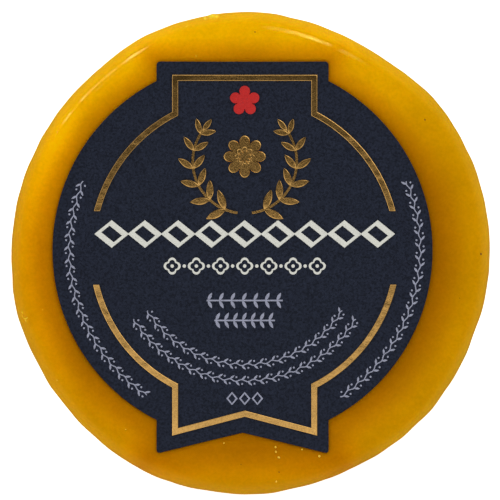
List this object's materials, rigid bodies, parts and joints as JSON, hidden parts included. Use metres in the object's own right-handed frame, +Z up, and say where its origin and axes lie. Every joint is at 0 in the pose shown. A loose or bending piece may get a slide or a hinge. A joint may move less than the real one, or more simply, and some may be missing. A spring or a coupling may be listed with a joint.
{
  "type": "waxed smoked cheddar truckle",
  "caption": "Small round smoked cheddar sealed in amber wax, with a dished top, a rounded rim and a badge-shaped dark label with gold line print.",
  "frame": {"origin": "middle of the base, on the surface that the truckle rests on", "axes": "+Z up through the labelled top face; +Y towards the label's upper edge, +X towards its right-hand side"},
  "size_m": [0.08, 0.0805, 0.0454],
  "materials": {
    "wax": "satin",
    "label_paper": "matte",
    "gold_foil": "satin",
    "cream_ink": "matte",
    "grey_ink": "matte",
    "red_ink": "matte"
  },
  "bodies": {
    "root": {"waxed_cheese": "wax", "label": "label_paper", "border_upper": "gold_foil", "border_lower": "gold_foil", "title_chain": "cream_ink", "wreath_right": "gold_foil", "wreath_left": "gold_foil", "rosette": "gold_foil", "red_flower": "red_ink"}
  },
  "joints": []
}
